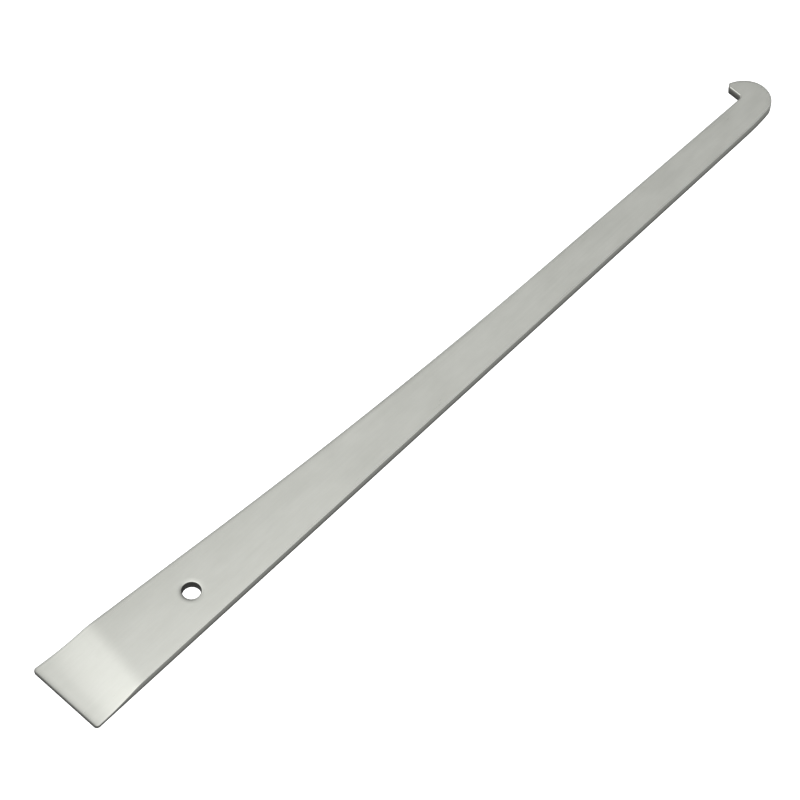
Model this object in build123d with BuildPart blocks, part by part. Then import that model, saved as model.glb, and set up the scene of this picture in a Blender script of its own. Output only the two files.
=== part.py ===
"""A one-piece J-hook hive tool, cut from flat stainless plate, ground and polished.

The outline is drawn with X running from the blade's edge to the hook and Y running from
the straight back edge towards the side that the hook's nose points to. The plate lies flat
on its underside. The finished part is centred on the middle of its own outline, with the
underside at Z = 0. All lengths are in millimetres and all angles in degrees.
"""

from build123d import *
import os
from math import cos, radians, sin, tan

# Plate
overall_length = 420.0
thickness = 4.0
edge_round = 0.33  # buffed edge all round both faces

# Body: the back edge is straight, the free edge narrows from the blade to the neck
blade_edge_width = 36.2  # between the sharp corners of the blade's edge
blade_edge_lean = 1.9  # the free corner sits this much back from square
blade_corner_radius = 1.7
flare_angle = 5.32  # free edge against back edge, beside the blade
flare_straight = 88.3  # from the blade's edge to the start of the long arc
flare_arc_radius = 2745.0
neck_angle = 1.36  # free edge against back edge, beside the hook

# Hook: a crown that leaves the back edge gently and closes in a blunt nose
lead_in_radius = 139.0
lead_in_turn = 6.0
crown_radius = 10.6
crown_turn = 113.4
brow_radius = 13.8
brow_turn = 41.5
throat_from_end = 11.45  # from the crown's furthest point back to the throat's corner
throat_lean = 5.0  # the throat's face leans away from the blade
nose_height = 21.3  # top of the throat's face, above the back edge
throat_corner_radius = 1.5
nose_corner_radius = 0.6

# Blade: hollow ground on the upper face only by the rim of a small wheel. From the edge the
# grind runs level, climbs the wheel's curve, and is blended over into the flat.
blade_thickness = 1.62  # along the level strip behind the edge
grind_lean = 8.8  # the wheel crossed the blade at this slant
level_length = 3.2  # at the back edge
wheel_radius = 79.0
climb_turn = 12.4

# Hole for pulling nails and hanging up, halfway across the blade
hole_radius = 3.75
hole_from_edge = 67.0
hole_rim_round = 0.45

# A face counts as part of the plate's side when its normal is this close to level
level_tolerance = 0.01


def heading(angle):
    """Unit vector in the outline's plane."""
    return Vector(cos(radians(angle)), sin(radians(angle)))


# Points of the outline that the edges' angles fix
back_corner = Vector(0, 0)
free_corner = Vector(blade_edge_width * tan(radians(blade_edge_lean)), blade_edge_width)
flare_run = flare_straight - free_corner.X
flare_end = free_corner + Vector(flare_run, -flare_run * tan(radians(flare_angle)))
throat_x = overall_length - throat_from_end

# The crown is furthest forward where it runs square to the back edge
turn_in = radians(lead_in_turn)
crown_reach = (lead_in_radius - crown_radius) * sin(turn_in) + crown_radius
lead_in_start = Vector(overall_length - crown_reach, 0)
crown_heading = lead_in_turn
brow_heading = crown_heading + crown_turn

with BuildSketch() as outline:
    with BuildLine():
        # Straight back edge, then round the crown to the nose
        Line(back_corner, lead_in_start)
        lead_in = JernArc(lead_in_start, heading(0), lead_in_radius, lead_in_turn)
        crown = JernArc(lead_in @ 1, heading(crown_heading), crown_radius, crown_turn)
        brow = JernArc(crown @ 1, heading(brow_heading), brow_radius, brow_turn)
        # Free edge from the blade's corner to the throat
        flare = Line(free_corner, flare_end)
        flare_arc = JernArc(
            flare_end, heading(-flare_angle), flare_arc_radius, flare_angle - neck_angle
        )
        neck_start = flare_arc @ 1
        neck_run = throat_x - neck_start.X
        throat_corner = neck_start + Vector(neck_run, -neck_run * tan(radians(neck_angle)))
        Line(neck_start, throat_corner)
        # Throat's face and the blunt nose above it
        throat_rise = nose_height - throat_corner.Y
        nose_tip = throat_corner + Vector(throat_rise * tan(radians(throat_lean)), throat_rise)
        Line(throat_corner, nose_tip)
        Line(nose_tip, brow @ 1)
        # Blade's edge
        Line(back_corner, free_corner)
    make_face()
    blade_corners = [
        outline.vertices().sort_by_distance(back_corner)[0],
        outline.vertices().sort_by_distance(free_corner)[0],
    ]
    fillet(blade_corners, blade_corner_radius)
    fillet(outline.vertices().sort_by_distance(throat_corner)[0], throat_corner_radius)
    nose_corners = [
        outline.vertices().sort_by_distance(nose_tip)[0],
        outline.vertices().sort_by_distance(brow @ 1)[0],
    ]
    fillet(nose_corners, nose_corner_radius)

middle = outline.sketch.bounding_box().center()
plate_plane = Plane(origin=(-middle.X, -middle.Y, 0))


def upright_plane(lean):
    """Plane through the back corner, standing across a line that leans back by lean."""
    across = heading(-lean)
    return Plane(
        origin=(-middle.X, -middle.Y, 0),
        x_dir=(across.X, across.Y, 0),
        z_dir=(across.Y, -across.X, 0),
    )


# The blend takes the grind up to the flat, so what the wheel's curve leaves sets its radius
turn_share = 1 - cos(radians(climb_turn))
blend_radius = (thickness - blade_thickness) / turn_share - wheel_radius
# Cutters start ahead of the blade and clear the top of the plate
cutter_clearance = 10.0
cutter_top = thickness + cutter_clearance

hole_y = (free_corner.Y - (hole_from_edge - free_corner.X) * tan(radians(flare_angle))) / 2
hole_plane = Plane(origin=(hole_from_edge - middle.X, hole_y - middle.Y, thickness))

with BuildPart() as tool_body:
    # Plate cut to the outline
    with BuildSketch(plate_plane):
        add(outline.sketch)
    extrude(amount=thickness)

    # Blade ground down from the upper face
    with BuildSketch(upright_plane(grind_lean)):
        with BuildLine():
            ahead = Vector(-cutter_clearance, blade_thickness)
            level_end = Vector(level_length, blade_thickness)
            Line(ahead, level_end)
            climb = JernArc(level_end, heading(0), wheel_radius, climb_turn)
            blend = JernArc(climb @ 1, heading(climb_turn), blend_radius, -climb_turn)
            Line(blend @ 1, ((blend @ 1).X, cutter_top))
            Line(((blend @ 1).X, cutter_top), (ahead.X, cutter_top))
            Line((ahead.X, cutter_top), ahead)
        make_face()
    extrude(amount=overall_length, both=True, mode=Mode.SUBTRACT)

    # Edges buffed round on both faces
    sides = tool_body.faces().filter_by(lambda f: abs(f.normal_at().Z) < level_tolerance)
    rim = sides.edges().filter_by(Axis.Z, reverse=True)
    fillet(rim, edge_round)

    # Drilled hole with both rims dressed
    with Locations(hole_plane):
        Hole(hole_radius)
    bore = tool_body.faces().filter_by(GeomType.CYLINDER).sort_by_distance(hole_plane.origin)[0]
    fillet(bore.edges().filter_by(GeomType.CIRCLE), hole_rim_round)

tool_body.part.label = "tool_body"

os.makedirs("parts", exist_ok=True)
export_step(tool_body.part, "parts/tool_body.step")
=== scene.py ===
"""Looks for the one-piece J-hook hive tool: satin stainless plate on a plain white sweep.

The tool's mesh is drawn from the same arcs and lines as the CAD part, at finer steps and with
exact surface normals, so that the rounded edges and the hollow grind shade smoothly.
"""
import math

import bpy
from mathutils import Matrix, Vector
from mathutils.geometry import delaunay_2d_cdt
from mathutils.kdtree import KDTree


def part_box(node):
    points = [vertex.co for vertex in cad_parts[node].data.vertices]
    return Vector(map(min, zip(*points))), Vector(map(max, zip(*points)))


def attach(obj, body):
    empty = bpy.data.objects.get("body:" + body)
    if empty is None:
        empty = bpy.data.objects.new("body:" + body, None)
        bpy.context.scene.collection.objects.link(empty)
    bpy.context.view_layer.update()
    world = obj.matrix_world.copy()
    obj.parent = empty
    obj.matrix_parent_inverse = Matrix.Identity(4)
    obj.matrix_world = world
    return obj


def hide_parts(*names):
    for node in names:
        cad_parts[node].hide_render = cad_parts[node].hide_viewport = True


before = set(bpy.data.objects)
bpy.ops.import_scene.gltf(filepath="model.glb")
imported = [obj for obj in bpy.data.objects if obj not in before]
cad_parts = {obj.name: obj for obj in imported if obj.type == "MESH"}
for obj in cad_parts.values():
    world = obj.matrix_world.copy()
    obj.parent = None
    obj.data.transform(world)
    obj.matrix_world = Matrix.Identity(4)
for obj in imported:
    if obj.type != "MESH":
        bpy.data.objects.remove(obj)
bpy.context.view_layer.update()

node_low, node_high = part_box("tool_body")

MM = 0.001

# ---------------------------------------------------------------- shape, in millimetres
# As the CAD part: X runs from the blade to the hook, Y from the straight back edge.
LENGTH = 420.0
THICKNESS = 4.0
EDGE_ROUND = 0.33
BLADE_EDGE_ROUND = 0.12
THROAT_EDGE_ROUND = 0.85
BLADE_EDGE_WIDTH = 36.2
BLADE_EDGE_LEAN = 1.9
BLADE_CORNER = 1.7
FLARE_ANGLE = 5.32
FLARE_STRAIGHT = 88.3
FLARE_ARC = 2745.0
NECK_ANGLE = 1.36
LEAD_IN = (139.0, 6.0)
CROWN = (10.6, 113.4)
BROW = (13.8, 41.5)
THROAT_FROM_END = 11.45
THROAT_LEAN = 5.0
NOSE_HEIGHT = 21.3
THROAT_CORNER = 1.5
NOSE_CORNER = 0.6
GRIND_LEAN = 8.8
LEVEL_LENGTH = 3.2
WHEEL_RADIUS = 79.0
CLIMB_TURN = 12.4
HOLE_RADIUS = 3.75
HOLE_FROM_EDGE = 67.0
HOLE_RIM = 0.45

# ---------------------------------------------------------------- sampling
# Between samples of the outline: millimetres along straights, degrees round arcs.
GROUND_SPACING = 0.7
PLAIN_SPACING = 4.0
NOSE_SPACING = 0.6
THROAT_SPACING = 0.8
BLADE_EDGE_SPACING = 1.0
FLARE_STEP = 0.08
LEAD_IN_STEP = 0.6
HOOK_STEP = 2.5
BLADE_CORNER_STEP = 6
HOOK_CORNER_STEP = 9
# The ground part is sampled closely up to these places along the back and the free edge.
GROUND_TO_BACK = 34.0
GROUND_TO_FREE = 40.0
# Steps round each rounded edge, and samples round the hole.
ROUND_STEPS = 5
HOLE_SAMPLES = 64


def heading(angle):
    """Unit vector at an angle in degrees from the tool's X."""
    return Vector((math.cos(math.radians(angle)), math.sin(math.radians(angle))))


def tan_deg(angle):
    return math.tan(math.radians(angle))


# ---------------------------------------------------------------- outline
# A sample is (point, heading): material lies to the left of the walk.
def arc(out, start, angle, radius, turn, step):
    """Adds samples round an arc that starts at a heading and turns left, or right if negative."""
    side = 1 if turn > 0 else -1
    centre = start + side * radius * heading(angle + 90)
    count = max(2, math.ceil(abs(turn) / step))
    for i in range(count + 1):
        a = angle + turn * i / count
        out.append((centre - side * radius * heading(a + 90), a))
    return out[-1]


def line(out, end, angle, spacing):
    """Adds samples between the last one and a point, without either end."""
    start = out[-1][0]
    run = end - start
    count = max(1, math.ceil(run.length / spacing))
    for i in range(1, count):
        out.append((start + run * i / count, angle))


def corner(out, at, angle_in, angle_out, radius, step):
    """Rounds a sharp corner between two straight stretches."""
    turn = (angle_out - angle_in + 180) % 360 - 180
    tangent = radius * abs(tan_deg(turn / 2))
    arc(out, at - tangent * heading(angle_in), angle_in, radius, turn, step)


def line_and_corner(out, spacing, at, angle_in, angle_out, radius, step):
    """Adds the straight stretch up to a rounded corner, and then the corner."""
    rounded = []
    corner(rounded, at, angle_in, angle_out, radius, step)
    line(out, rounded[0][0], angle_in, spacing)
    out.extend(rounded)


def walk_outline():
    """The whole outline as samples, anticlockwise from the back corner of the blade."""
    free = Vector((BLADE_EDGE_WIDTH * tan_deg(BLADE_EDGE_LEAN), BLADE_EDGE_WIDTH))
    flare_run = FLARE_STRAIGHT - free.x
    flare_end = free + Vector((flare_run, -flare_run * tan_deg(FLARE_ANGLE)))
    turn_in = math.radians(LEAD_IN[1])
    reach = (LEAD_IN[0] - CROWN[0]) * math.sin(turn_in) + CROWN[0]
    flare = []
    arc(flare, flare_end, -FLARE_ANGLE, FLARE_ARC, FLARE_ANGLE - NECK_ANGLE, FLARE_STEP)
    throat_x = LENGTH - THROAT_FROM_END
    neck_run = throat_x - flare[-1][0].x
    throat = flare[-1][0] + Vector((neck_run, -neck_run * tan_deg(NECK_ANGLE)))
    rise = NOSE_HEIGHT - throat.y
    nose = throat + Vector((rise * tan_deg(THROAT_LEAN), rise))

    out = []
    corner(out, Vector((0, 0)), 270 - BLADE_EDGE_LEAN, 360, BLADE_CORNER, BLADE_CORNER_STEP)
    out = [(p, a - 360) for p, a in out]
    ground_end = Vector((GROUND_TO_BACK, 0))
    line(out, ground_end, 0, GROUND_SPACING)
    out.append((ground_end, 0))
    start = Vector((LENGTH - reach, 0))
    line(out, start, 0, PLAIN_SPACING)

    # Each arc starts with the sample that the one before ended with, so that one goes first.
    last = arc(out, start, 0, *LEAD_IN, LEAD_IN_STEP)
    out.pop()
    last = arc(out, *last, *CROWN, HOOK_STEP)
    brow_point, brow_angle = arc([], *last, *BROW, HOOK_STEP)
    flat = nose - brow_point
    flat_angle = math.degrees(math.atan2(flat.y, flat.x)) % 360
    tangent = NOSE_CORNER * abs(tan_deg((flat_angle - brow_angle) / 2))
    out.pop()
    arc(out, *last, BROW[0], BROW[1] - math.degrees(tangent / BROW[0]), HOOK_STEP)
    out.pop()
    corner(out, brow_point, brow_angle, flat_angle, NOSE_CORNER, HOOK_CORNER_STEP)

    face_angle = 270 - THROAT_LEAN
    line_and_corner(
        out, NOSE_SPACING, nose, flat_angle, face_angle, NOSE_CORNER, HOOK_CORNER_STEP)
    line_and_corner(
        out, THROAT_SPACING, throat, face_angle, 180 - NECK_ANGLE, THROAT_CORNER,
        HOOK_CORNER_STEP)
    back = [(p, a + 180) for p, a in reversed(flare)]
    line(out, back[0][0], 180 - NECK_ANGLE, PLAIN_SPACING)
    out += back

    along = 180 - FLARE_ANGLE
    ground_y = free.y - (GROUND_TO_FREE - free.x) * tan_deg(FLARE_ANGLE)
    ground_start = Vector((GROUND_TO_FREE, ground_y))
    line(out, ground_start, along, PLAIN_SPACING)
    out.append((ground_start, along))
    line_and_corner(
        out, GROUND_SPACING, free, along, 270 - BLADE_EDGE_LEAN, BLADE_CORNER,
        BLADE_CORNER_STEP)
    line(out, out[0][0], 270 - BLADE_EDGE_LEAN, BLADE_EDGE_SPACING)
    return out


# ---------------------------------------------------------------- upper face's height
# The grind climbs the wheel's curve, and the belt then eased its step into the flat.
CLIMB_RUN = WHEEL_RADIUS * math.sin(math.radians(CLIMB_TURN))
CLIMB_RISE = WHEEL_RADIUS * (1 - math.cos(math.radians(CLIMB_TURN)))
EASE_RUN = 8.0
EASE_RISE = tan_deg(CLIMB_TURN) * EASE_RUN / 3


def grind(u):
    """Height and slope of the hollow grind, a distance along its own line from the corner."""
    u -= LEVEL_LENGTH
    base = THICKNESS - EASE_RISE - CLIMB_RISE
    if u <= 0:
        return base, 0.0
    if u < CLIMB_RUN:
        drop = math.sqrt(WHEEL_RADIUS**2 - u**2)
        return base + WHEEL_RADIUS - drop, u / drop
    left = max(1 - (u - CLIMB_RUN) / EASE_RUN, 0.0)
    return THICKNESS - EASE_RISE * left**3, tan_deg(CLIMB_TURN) * left**2


def upper(p):
    """Height of the upper face over a point, and its gradient."""
    along = heading(-GRIND_LEAN)
    z, slope = grind(p.dot(along))
    return z, slope * along


# ---------------------------------------------------------------- softening by the buff
SOFT_WIDTH, SOFT_DEPTH = 5.0, 0.035
DISH_WIDTH, DISH_DEPTH = 2.2, 0.14


def falloff(distance, width, depth):
    """A dip that dies away smoothly over a width, and its slope away from where it is deepest."""
    left = 1 - distance / width
    if left <= 0:
        return 0.0, 0.0
    return depth * left**2, 2 * depth / width * left


outline = walk_outline()
points = [p for p, _ in outline]
outward = [heading(a - 90) for _, a in outline]
near = KDTree(len(points))
for i, p in enumerate(points):
    near.insert((p.x, p.y, 0), i)
near.balance()

hole_y = (
    BLADE_EDGE_WIDTH
    - (HOLE_FROM_EDGE - BLADE_EDGE_WIDTH * tan_deg(BLADE_EDGE_LEAN)) * tan_deg(FLARE_ANGLE)
) / 2
hole = Vector((HOLE_FROM_EDGE, hole_y))


def from_edge(p):
    """Distance from the outline, and the unit vector pointing in from the nearest edge."""
    _, i, _ = near.find((p.x, p.y, 0))
    inward = -outward[i]
    return max((p - points[i]).dot(inward), 0.0), inward


def buffed(p, d, inward):
    """Height and gradient of the upper face with the buff's softening."""
    z, grad = upper(p)
    dip, slope = falloff(d, SOFT_WIDTH, SOFT_DEPTH)
    z, grad = z - dip, grad + slope * inward
    away = p - hole
    dish, dish_slope = falloff(away.length - HOLE_RADIUS, DISH_WIDTH, DISH_DEPTH)
    if dish:
        z, grad = z - dish, grad + dish_slope * away.normalized()
    return z, grad


def normal_of(grad):
    """The unit normal of a surface whose height has this gradient."""
    return Vector((-grad.x, -grad.y, 1)).normalized()


# ---------------------------------------------------------------- mesh
verts, normals, faces, rim_values, grain = [], [], [], [], []
middle = Vector((
    (min(p.x for p in points) + max(p.x for p in points)) / 2,
    (min(p.y for p in points) + max(p.y for p in points)) / 2, 0,
))
shift = (node_low + node_high) / 2 / MM - middle
shift.z = 0


def put(p, z, normal, rim, along):
    """Adds one vertex: millimetres in, metres out. rim is 1 on the edges, and along is its place
    on the brushing's UV map."""
    verts.append((Vector((p.x, p.y, z)) + shift) * MM)
    normals.append(normal)
    rim_values.append(rim)
    grain.append(along)
    return len(verts) - 1


def strip(lower, higher):
    """Quads between two closed rings of vertices, seen from outside."""
    count = len(lower)
    for i in range(count):
        j = (i + 1) % count
        faces.append((lower[i], lower[j], higher[j], higher[i]))


# Where the upper edge's rounding differs: millimetres from that end, degrees of heading.
CRISP_WITHIN = (2.5, 30)
WIDE_WITHIN = (20, 12)
walked = [0.0]
for a, b in zip(points, points[1:]):
    walked.append(walked[-1] + (b - a).length)


def upper_round(p, angle):
    """Radius of the upper edge's rounding: crisp along the blade's edge, wide in the throat."""
    if p.x < CRISP_WITHIN[0] and abs(angle - 270) < CRISP_WITHIN[1]:
        return BLADE_EDGE_ROUND
    if p.x > LENGTH - WIDE_WITHIN[0] and abs(angle - 270 + THROAT_LEAN) < WIDE_WITHIN[1]:
        return THROAT_EDGE_ROUND
    return EDGE_ROUND


def side_rings():
    """Rings from the underside's edge, round it, up the wall and round onto the upper face."""
    rings = []
    for k in range(ROUND_STEPS + 1):
        a = math.pi / 2 * (1 - k / ROUND_STEPS)
        d, z = EDGE_ROUND * (1 - math.cos(a)), EDGE_ROUND * (1 - math.sin(a))
        ring = []
        for p, o, s in zip(points, outward, walked):
            n = Vector((o.x * math.cos(a), o.y * math.cos(a), -math.sin(a)))
            ring.append(put(p - d * o, z, n, 1.0, (s, z)))
        rings.append(ring)
    tops = []
    for (p, angle), o in zip(outline, outward):
        radius = upper_round(p, angle % 360)
        wall_top, grad = buffed(p, 0.0, -o)
        slope = -grad.dot(o)
        tilt = math.atan(slope)
        centre = wall_top + slope * radius - radius / math.cos(tilt)
        tops.append((radius, centre, math.pi / 2 - tilt, normal_of(grad)))
    for k in range(ROUND_STEPS + 1):
        share = k / ROUND_STEPS
        ring = []
        for p, o, s, (radius, centre, last, top_normal) in zip(points, outward, walked, tops):
            a = last * share
            d, z = radius * (1 - math.cos(a)), centre + radius * math.sin(a)
            n = Vector((o.x, o.y, 0)).slerp(top_normal, share)
            ring.append(put(p - d * o, z, n, 1.0, (s, z)))
        rings.append(ring)
    return rings


def hole_rings():
    """Rings from the underside, up the drilled wall and out onto the upper face."""
    rims = [heading(-360 * i / HOLE_SAMPLES) for i in range(HOLE_SAMPLES)]
    around = [math.radians(360 * i / HOLE_SAMPLES) * HOLE_RADIUS for i in range(HOLE_SAMPLES)]
    rings = []

    def add_ring(a, z, side):
        """A ring where the rim has turned by an angle from the wall, side -1 below, 1 above."""
        r = HOLE_RADIUS + HOLE_RIM * (1 - math.cos(a))
        up = side * math.sin(a)
        rings.append([
            put(hole + r * o, z, Vector((-o.x * math.cos(a), -o.y * math.cos(a), up)),
                1.0, (s, z))
            for o, s in zip(rims, around)
        ])

    for k in range(ROUND_STEPS):
        a = math.pi / 2 * (1 - k / (ROUND_STEPS - 1))
        add_ring(a, HOLE_RIM * (1 - math.sin(a)), -1)
    dish, dish_slope = falloff(0.0, DISH_WIDTH, DISH_DEPTH)
    tilt = math.atan(dish_slope)
    centre = THICKNESS - dish + dish_slope * HOLE_RIM - HOLE_RIM / math.cos(tilt)
    for k in range(ROUND_STEPS):
        share = k / (ROUND_STEPS - 1)
        a = (math.pi / 2 - tilt) * share
        add_ring(a, centre + HOLE_RIM * math.sin(a), 1)
    return rings


def in_outline(p):
    """True if a point is inside the outline."""
    inside = False
    for a, b in zip(points, points[1:] + points[:1]):
        if (a.y > p.y) != (b.y > p.y) and p.x < (b.x - a.x) * (p.y - a.y) / (b.y - a.y) + a.x:
            inside = not inside
    return inside


# Rows that follow the outline, at these distances from it. Their points keep apart, and more
# so further in.
ROWS_AT = (1.1, 1.8, 3.0, 5.0)
ROW_SLACK = 0.02
APART, APART_GROWTH = 0.45, 0.22
# Rings round the hole, of these radii.
RINGS_AT = (4.7, 5.3, 6.1, 7.4)
RING_POINTS = 40
# A grid in the rest. Each pair is its step along the tool and how far it keeps from the
# outline, on the ground part and beyond it.
GRID_START = (1.0, 1.5)
GROUND_GRID = (0.9, 5.2)
PLAIN_GRID = (4.0, 5.6)
GRID_ACROSS = 2.6
GRID_FROM_HOLE = 8.2


def inner_points():
    """Points that give the upper face its curvature: rows that follow the edges, rings round
    the hole, and a grid between them."""
    found = []

    def clear(p, least):
        return all((p - q).length_squared > least * least for q in found)

    for d in ROWS_AT:
        for p, o in zip(points, outward):
            q = p - d * o
            if from_edge(q)[0] > d - ROW_SLACK and clear(q, APART + d * APART_GROWTH):
                found.append(q)
    for r in RINGS_AT:
        found += [hole + r * heading(360 * (i + r) / RING_POINTS) for i in range(RING_POINTS)]
    x = GRID_START[0]
    while x < LENGTH:
        y = GRID_START[1]
        step, margin = GROUND_GRID if x < GROUND_TO_BACK else PLAIN_GRID
        while y < BLADE_EDGE_WIDTH:
            q = Vector((x, y))
            off_hole = (q - hole).length > GRID_FROM_HOLE
            if from_edge(q)[0] > margin and off_hole and in_outline(q):
                found.append(q)
            y += GRID_ACROSS
        x += step
    return found


# What the filling routine is asked for: only triangles inside a ring, and points merged when
# they are this close, in millimetres.
INSIDE_ONLY, MERGE_WITHIN = 1, 1e-7


def cap(outer_ring, hole_ring, inner, height, up):
    """Fills a face between the outline's ring and the hole's, through the inner points."""
    known = outer_ring + hole_ring
    flat = [(verts[i] / MM - shift).xy for i in known]
    n, m = len(outer_ring), len(hole_ring)
    edges = [(i, (i + 1) % n) for i in range(n)]
    edges += [(n + i, n + (i + 1) % m) for i in range(m)]
    for p in inner:
        z, normal, rim = height(p)
        flat.append(p)
        known.append(put(p, z, normal, rim, (p.x, p.y)))
    _, _, tris, origin, _, _ = delaunay_2d_cdt(flat, edges, [], INSIDE_ONLY, MERGE_WITHIN)
    for tri in tris:
        corners = [origin[i][0] for i in tri]
        if all(n <= i < n + m for i in corners):
            continue  # across the open hole
        ids = [known[i] for i in corners]
        faces.append(tuple(ids if up else reversed(ids)))


RIM_WIDTH = 1.6
# The flat underside needs fewer points: one in three of those well away from its edges.
UNDER_FROM_EDGE = 2.5
UNDER_FROM_HOLE = 5
UNDER_EVERY = 3


def upper_vertex(p):
    """Height, normal and rim value of a point on the upper face."""
    d, inward = from_edge(p)
    z, grad = buffed(p, d, inward)
    return z, normal_of(grad), max(0.0, 1 - d / RIM_WIDTH)


def under_vertex(p):
    """The same for the flat underside, whatever the point."""
    return 0.0, Vector((0, 0, -1)), 0.0


sides = side_rings()
for lower, higher in zip(sides, sides[1:]):
    strip(lower, higher)
bore = hole_rings()
for lower, higher in zip(bore, bore[1:]):
    strip(lower, higher)
inner = inner_points()
cap(sides[-1], bore[-1], inner, upper_vertex, True)
under_inner = [
    p for p in inner
    if from_edge(p)[0] > UNDER_FROM_EDGE and (p - hole).length > UNDER_FROM_HOLE
][::UNDER_EVERY]
cap(sides[0], bore[0], under_inner, under_vertex, False)


# ---------------------------------------------------------------- painted shade
# Painted shade on sides facing the blade's way: growth with the facing, and where it begins.
PAINTED_SHADE_GROWTH, PAINTED_SHADE_START = 1.4, 0.3
# Painted shade in fine lines on the last three rings of the upper rounding, from the wall inwards.
LINE_SHARES = (1.0, 0.75, 0.4)
BACK_SHARES = (0.6, 0.35, 0.0)
LINE_GROWTH = 1.5
# The free edge's line fades from this far along, over this run, to what is left far out.
LINE_FADE = (190.0, 70.0)
LINE_FAR = 0.4
# A crescent of painted shade round the hole, on this side of it.
SHADE_WIDTH = 1.9
SHADE_SIDE = Vector((-0.99, 0.14))
SHADE_MOST, SHADE_POWER, SHADE_GROWTH = 0.9, 1.5, 1.4


def clamped(value):
    """The value kept between 0 and 1."""
    return min(max(value, 0.0), 1.0)


def painted_shade_values():
    """How much painted shade each vertex gets: on sides that face the blade's way, in a fine
    line along the upper edges of the free side and the back, and in a crescent at the hole."""
    found = [0.0] * len(verts)
    lined = len(LINE_SHARES)
    for ring in sides[1:-lined]:
        for vertex, o in zip(ring, outward):
            found[vertex] = clamped(-PAINTED_SHADE_GROWTH * o.x - PAINTED_SHADE_START)
    for ring, line_share, back_share in zip(sides[-lined:], LINE_SHARES, BACK_SHARES):
        for vertex, o in zip(ring, outward):
            past = (verts[vertex].x / MM - shift.x - LINE_FADE[0]) / LINE_FADE[1]
            fade = min(max(1 - past, LINE_FAR), 1.0)
            free_line = fade * line_share * clamped(LINE_GROWTH * o.y)
            found[vertex] = free_line + back_share * clamped(-LINE_GROWTH * o.y)
    for i, at in enumerate(verts):
        away = (at / MM - shift).xy - hole
        if away.length < HOLE_RADIUS + SHADE_WIDTH:
            left = 1 - max(away.length - HOLE_RADIUS, 0.0) / SHADE_WIDTH
            facing = clamped(SHADE_GROWTH * away.normalized().dot(SHADE_SIDE))
            found[i] = SHADE_MOST * left**SHADE_POWER * facing
    return found


mesh = bpy.data.meshes.new("tool_body_finish")
mesh.from_pydata(verts, [], faces)
mesh.shade_smooth()
rim = mesh.attributes.new("rim", "FLOAT", "POINT")
rim.data.foreach_set("value", rim_values)
# Painted shade, stored on each vertex, which the materials darken their colour by.
painted_shade = mesh.attributes.new("painted_shade", "FLOAT", "POINT")
painted_shade.data.foreach_set("value", painted_shade_values())
uv = mesh.uv_layers.new(name="grain")
for loop in mesh.loops:
    uv.data[loop.index].uv = [c / LENGTH for c in grain[loop.vertex_index]]
mesh.normals_split_custom_set_from_vertices(normals)
tool = bpy.data.objects.new("tool_body_finish", mesh)
bpy.context.scene.collection.objects.link(tool)
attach(tool, "root")
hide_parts("tool_body")


# ---------------------------------------------------------------- materials
def new_material(name):
    """A metal material with its tree and its shader."""
    mat = bpy.data.materials.new(name)
    mat.use_nodes = True
    tree = mat.node_tree
    shader = tree.nodes["Principled BSDF"]
    shader.inputs["Metallic"].default_value = 1.0
    return mat, tree, shader


def node(tree, kind, **inputs):
    """A new node with values on its inputs, whose names have _ for a space."""
    made = tree.nodes.new(kind)
    for key, value in inputs.items():
        made.inputs[key.replace("_", " ")].default_value = value
    return made


def streaks(tree, scale, detail, turn=0.0):
    """Noise stretched along the tool: scale is per metre along X, Y and Z."""
    place = tree.nodes.new("ShaderNodeTexCoord")
    mapping = node(tree, "ShaderNodeMapping", Scale=scale, Rotation=(0, 0, math.radians(turn)))
    noise = node(tree, "ShaderNodeTexNoise", Scale=1.0, Detail=detail, Roughness=0.6)
    tree.links.new(place.outputs["Object"], mapping.inputs["Vector"])
    tree.links.new(mapping.outputs["Vector"], noise.inputs["Vector"])
    return noise.outputs["Fac"]


def remap(tree, value, low, high, to_low, to_high):
    """A value stretched from one range to another, and kept inside it."""
    made = node(tree, "ShaderNodeMapRange", From_Min=low, From_Max=high,
                To_Min=to_low, To_Max=to_high)
    tree.links.new(value, made.inputs["Value"])
    return made.outputs["Result"]


def combine(tree, how, a, b):
    """One Math node on two values, each a number or another node's output."""
    made = tree.nodes.new("ShaderNodeMath")
    made.operation = how
    for value, socket in zip((a, b), made.inputs):
        if isinstance(value, (int, float)):
            socket.default_value = value
        else:
            tree.links.new(value, socket)
    return made.outputs["Value"]


def between(tree, share, first, second):
    """A mix of two colours by a share."""
    made = tree.nodes.new("ShaderNodeMix")
    made.data_type = "RGBA"
    made.inputs["A"].default_value = (*first, 1)
    made.inputs["B"].default_value = (*second, 1)
    tree.links.new(share, made.inputs["Factor"])
    return made.outputs["Result"]


def measured(tree, direction):
    """Distance in millimetres from the outline's back corner along a direction."""
    place = tree.nodes.new("ShaderNodeTexCoord")
    dot = tree.nodes.new("ShaderNodeVectorMath")
    dot.operation = "DOT_PRODUCT"
    dot.inputs[1].default_value = Vector(direction) / MM
    tree.links.new(place.outputs["Object"], dot.inputs[0])
    return combine(tree, "SUBTRACT", dot.outputs["Value"], shift.dot(Vector(direction)))


def curve(tree, value, low, high, stops):
    """A value looked up between stops that run from low to high."""
    share = remap(tree, value, low, high, 0.0, 1.0)
    ramp = tree.nodes.new("ShaderNodeValToRGB")
    set_stops(ramp, stops)
    tree.links.new(share, ramp.inputs["Fac"])
    return ramp.outputs["Color"]


def set_stops(ramp, stops):
    """Fills a colour ramp with grey stops of (place, level)."""
    while len(ramp.color_ramp.elements) < len(stops):
        ramp.color_ramp.elements.new(0.5)
    for element, (at, level) in zip(ramp.color_ramp.elements, stops):
        element.position = at
        element.color = (level, level, level, 1)


def scaled(tree, colour, factor):
    """A colour times a factor."""
    made = tree.nodes.new("ShaderNodeVectorMath")
    made.operation = "SCALE"
    tree.links.new(colour, made.inputs[0])
    tree.links.new(factor, made.inputs["Scale"])
    return made.outputs["Vector"]


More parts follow.
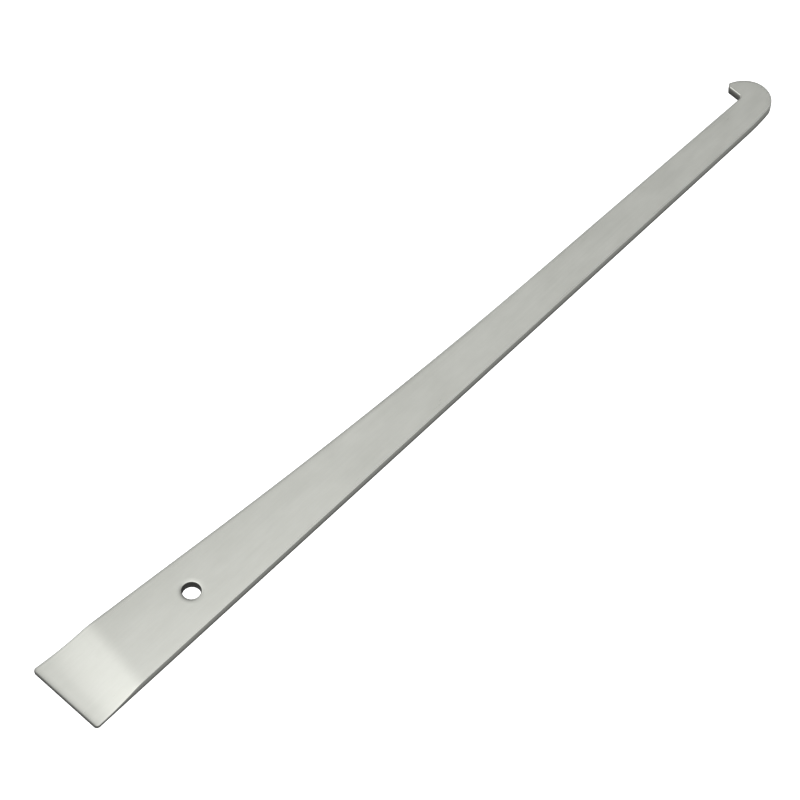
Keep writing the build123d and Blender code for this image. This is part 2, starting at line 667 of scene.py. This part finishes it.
def attribute(tree, name):
    """A value stored on the mesh's vertices."""
    made = tree.nodes.new("ShaderNodeAttribute")
    made.attribute_name = name
    return made.outputs["Fac"]


def painted_shade_factor(tree, darkest):
    """A factor that falls from 1 to the darkest as the painted shade grows."""
    return remap(tree, attribute(tree, "painted_shade"), 0.0, 1.0, 1.0, darkest)


def bump(tree, height, strength, distance):
    """A bump node, its distance in metres."""
    made = node(tree, "ShaderNodeBump", Strength=strength, Distance=distance)
    tree.links.new(height, made.inputs["Height"])
    return made


# The middle of the noise's values, which all its uses stretch.
NOISE = (0.3, 0.7)
# Ground edge of the blade: painted shade, darkest right at the edge. Stops over the first 3 mm.
EDGE_SHADE = [(0.0, 0.20), (0.08, 0.22), (0.17, 0.50), (0.32, 0.78), (0.6, 0.92), (1.0, 1.0)]
EDGE_SHADE_RUN = 3.0
# A painted highlight, brightest over the middle of the grind. Stops over the first 30 mm.
GRIND_HIGHLIGHT = [(0.0, 1.0), (0.12, 1.03), (0.30, 1.065), (0.55, 1.03), (0.8, 1.0), (1.0, 1.0)]
GRIND_HIGHLIGHT_RUN = 30.0
# Painted light and shade across the tool, lighter at the back and darker at the free side, fading
# out along it.
SHADE_ACROSS, SHADE_ACROSS_BY = (2.0, 34.0), (0.035, -0.07)
SHADE_ACROSS_FADE = (60.0, 190.0)
# Painted light and shade up the plate's side, darkest at the underside: stops from the underside
# to the upper face.
SIDE_SHADE_STOPS = [(0.0, 0.30), (0.2, 0.42), (0.4, 0.92), (0.7, 1.22), (1.0, 1.30)]
# Darkest and lightest steel of each kind.
FACE_TONES = (0.715, 0.725, 0.670), (0.805, 0.815, 0.760)
SIDE_TONES = (0.71, 0.72, 0.66), (0.79, 0.80, 0.74)
# The hole's wall is near black: painted shade in the hole.
WALL_SHADE_TONES = (0.12, 0.12, 0.11), (0.23, 0.23, 0.215)


def painted_light(tree):
    """Painted light and shade on the plate: painted shade towards the blade's free side and along
    its ground edge, a painted highlight on the grind, and the painted shade stored on the
    vertices."""
    x = measured(tree, (1, 0, 0))
    y = measured(tree, (0, 1, 0))
    edge = heading(-BLADE_EDGE_LEAN)
    edge_shade = curve(tree, measured(tree, (edge.x, edge.y, 0)), 0.0, EDGE_SHADE_RUN, EDGE_SHADE)
    grind_highlight = curve(tree, x, 0.0, GRIND_HIGHLIGHT_RUN, GRIND_HIGHLIGHT)
    across_shade = remap(tree, y, *SHADE_ACROSS, *SHADE_ACROSS_BY)
    near_blade = remap(tree, x, *SHADE_ACROSS_FADE, to_low=1.0, to_high=0.0)
    shade = combine(tree, "ADD", combine(tree, "MULTIPLY", across_shade, near_blade), 1.0)
    painted_tones = combine(tree, "MULTIPLY", edge_shade, combine(tree, "MULTIPLY", grind_highlight, shade))
    return combine(tree, "MULTIPLY", painted_tones, painted_shade_factor(tree, darkest=0.35))


def satin_steel():
    """Plate finished with a fine belt along its length, its edges smoother from the buff."""
    mat, tree, shader = new_material("satin_stainless")
    hair = streaks(tree, (28, 2600, 2600), detail=3)
    scratch = streaks(tree, (9, 900, 900), detail=2, turn=1.2)
    cloud = streaks(tree, (55, 130, 130), detail=3)

    # The fine lines are half hair and half scratch, and the tone is mostly cloud.
    lines = combine(tree, "ADD", combine(tree, "MULTIPLY", hair, 0.5),
                    combine(tree, "MULTIPLY", scratch, 0.5))
    tone = combine(tree, "ADD", remap(tree, lines, *NOISE, to_low=0.0, to_high=0.35),
                   remap(tree, cloud, *NOISE, to_low=0.0, to_high=0.65))
    colour = between(tree, tone, *FACE_TONES)
    # The steel's colour scaled by the painted light and shade.
    tree.links.new(scaled(tree, colour, painted_light(tree)), shader.inputs["Base Color"])

    rough = combine(tree, "ADD", remap(tree, hair, *NOISE, to_low=0.27, to_high=0.33),
                    remap(tree, cloud, *NOISE, to_low=0.0, to_high=0.05))
    polish = combine(tree, "MULTIPLY", attribute(tree, "rim"), 0.07)
    tree.links.new(combine(tree, "SUBTRACT", rough, polish), shader.inputs["Roughness"])

    fine = bump(tree, lines, strength=0.22, distance=0.00001)
    wave = bump(tree, cloud, strength=0.5, distance=0.00003)
    tree.links.new(wave.outputs["Normal"], fine.inputs["Normal"])
    tree.links.new(fine.outputs["Normal"], shader.inputs["Normal"])

    shader.inputs["Anisotropic"].default_value = 0.4
    tangent = tree.nodes.new("ShaderNodeTangent")
    tangent.direction_type = "UV_MAP"
    tangent.uv_map = "grain"
    tree.links.new(tangent.outputs["Tangent"], shader.inputs["Tangent"])
    return mat


def cut_steel():
    """The plate's cut sides, linished along their length, with painted light and shade that
    darkens them towards the underside.
    """
    mat, tree, shader = new_material("cut_side")
    hair = streaks(tree, (35, 35, 2600), detail=3)
    share = remap(tree, hair, *NOISE, to_low=0.0, to_high=1.0)
    colour = between(tree, share, *SIDE_TONES)
    # Painted shade: darker towards the underside, and where the vertices carry painted shade.
    side_shade = curve(tree, measured(tree, (0, 0, 1)), 0.0, THICKNESS, SIDE_SHADE_STOPS)
    side_shade = combine(tree, "MULTIPLY", side_shade, painted_shade_factor(tree, darkest=0.45))
    tree.links.new(scaled(tree, colour, side_shade), shader.inputs["Base Color"])
    rough = remap(tree, hair, *NOISE, to_low=0.26, to_high=0.34)
    tree.links.new(rough, shader.inputs["Roughness"])
    fine = bump(tree, hair, strength=0.35, distance=0.00001)
    tree.links.new(fine.outputs["Normal"], shader.inputs["Normal"])
    return mat


def drilled_steel():
    """The hole's wall, ringed by the drill, its colour made near black by painted shade, darkest
    on the blade's side.
    """
    mat, tree, shader = new_material("drilled_wall")
    rings = streaks(tree, (60, 60, 9000), detail=2)
    share = remap(tree, rings, *NOISE, to_low=0.0, to_high=1.0)
    colour = between(tree, share, *WALL_SHADE_TONES)
    shade = painted_shade_factor(tree, darkest=0.25)
    tree.links.new(scaled(tree, colour, shade), shader.inputs["Base Color"])
    rough = remap(tree, rings, *NOISE, to_low=0.38, to_high=0.52)
    tree.links.new(rough, shader.inputs["Roughness"])
    fine = bump(tree, rings, strength=0.4, distance=0.00002)
    tree.links.new(fine.outputs["Normal"], shader.inputs["Normal"])
    return mat


# Strips of faces with a finish of their own, from the wall up into the upper rounding; at the
# hole, the near black wall's painted shade reaches into the rim's rounding.
SIDE_STRIPS = 3
WALL_STRIPS = 4


def finish_strips(first, count, index):
    """Gives a run of faces one of the mesh's materials."""
    for i in range(first, first + count):
        mesh.polygons[i].material_index = index


mesh.materials.append(satin_steel())
mesh.materials.append(drilled_steel())
mesh.materials.append(cut_steel())
finish_strips(ROUND_STEPS * len(points), SIDE_STRIPS * len(points), 2)
first_wall = (len(sides) - 1) * len(points) + (ROUND_STEPS - 1) * HOLE_SAMPLES
finish_strips(first_wall, WALL_STRIPS * HOLE_SAMPLES, 1)


# ---------------------------------------------------------------- white sweep
def sweep():
    """A round floor that curves up into a wall. It lights nothing, and polish does not show it."""
    floor_z, radius, bend, top, around, bend_steps = -0.30, 5.0, 1.0, 5.0, 64, 8
    profile = [(0.0, floor_z), (radius - bend, floor_z)]
    for k in range(1, bend_steps + 1):
        a = math.pi / 2 * k / bend_steps
        profile.append((radius - bend + bend * math.sin(a), floor_z + bend * (1 - math.cos(a))))
    profile.append((radius, top))
    ring_verts, ring_faces = [(0, 0, floor_z)], []
    for r, z in profile[1:]:
        for i in range(around):
            a = 2 * math.pi * i / around
            ring_verts.append((r * math.cos(a), r * math.sin(a), z))
    for i in range(around):
        ring_faces.append((0, 1 + i, 1 + (i + 1) % around))
    for k in range(len(profile) - 2):
        base = 1 + k * around
        for i in range(around):
            j = (i + 1) % around
            ring_faces.append((base + i, base + around + i, base + around + j, base + j))
    made = bpy.data.meshes.new("floor")
    made.from_pydata(ring_verts, [], ring_faces)
    made.shade_smooth()
    mat = bpy.data.materials.new("floor")
    mat.use_nodes = True
    shader = mat.node_tree.nodes["Principled BSDF"]
    shader.inputs["Base Color"].default_value = (0.9, 0.9, 0.9, 1)
    shader.inputs["Roughness"].default_value = 0.9
    shader.inputs["Emission Color"].default_value = (1, 1, 1, 1)
    shader.inputs["Emission Strength"].default_value = 0.9
    made.materials.append(mat)
    floor = bpy.data.objects.new("floor", made)
    bpy.context.scene.collection.objects.link(floor)
    floor.visible_glossy = False
    floor.visible_diffuse = False
    floor.visible_shadow = False


sweep()

# ---------------------------------------------------------------- light
# The world's brightness, by how nearly a direction points at its brightest place: 1 is there,
# 0 is square to it or further round.
BRIGHTEST = Vector((-0.08, 0.20, 1.0))
SKY = [
    (0.0, 0.22), (0.08, 0.48), (0.22, 0.64), (0.42, 0.62), (0.56, 0.40), (0.64, 0.31),
    (0.766, 0.445), (0.80, 0.51), (0.836, 0.505), (0.862, 0.66), (0.887, 0.88), (0.94, 1.13),
    (0.985, 1.29), (1.0, 1.34),
]
world = bpy.data.worlds.new("studio")
bpy.context.scene.world = world
world.use_nodes = True
tree = world.node_tree
back = tree.nodes["Background"]
direction = tree.nodes.new("ShaderNodeTexCoord")
towards = tree.nodes.new("ShaderNodeVectorMath")
towards.operation = "DOT_PRODUCT"
towards.inputs[1].default_value = BRIGHTEST.normalized()
tree.links.new(direction.outputs["Generated"], towards.inputs[0])
ramp = tree.nodes.new("ShaderNodeValToRGB")
tree.links.new(towards.outputs["Value"], ramp.inputs["Fac"])
set_stops(ramp, SKY)
tree.links.new(ramp.outputs["Color"], back.inputs["Color"])
back.inputs["Strength"].default_value = 1.0

# ---------------------------------------------------------------- camera
# As fitted to the photo: metres, and degrees about X, Y and Z.
CAMERA_PLACE = (-0.58328, -0.48909, 1.06491)
CAMERA_TURN = (35.0182, -0.7602, -48.0220)
camera_data = bpy.data.cameras.new("camera")
camera_data.lens = 144.0
camera_data.sensor_width = 36.0
camera_data.clip_start = 0.05
camera_data.clip_end = 50.0
camera = bpy.data.objects.new("camera", camera_data)
camera.location = CAMERA_PLACE
camera.rotation_euler = [math.radians(a) for a in CAMERA_TURN]
bpy.context.scene.collection.objects.link(camera)
bpy.context.scene.camera = camera
bpy.context.scene.view_settings.view_transform = "Standard"
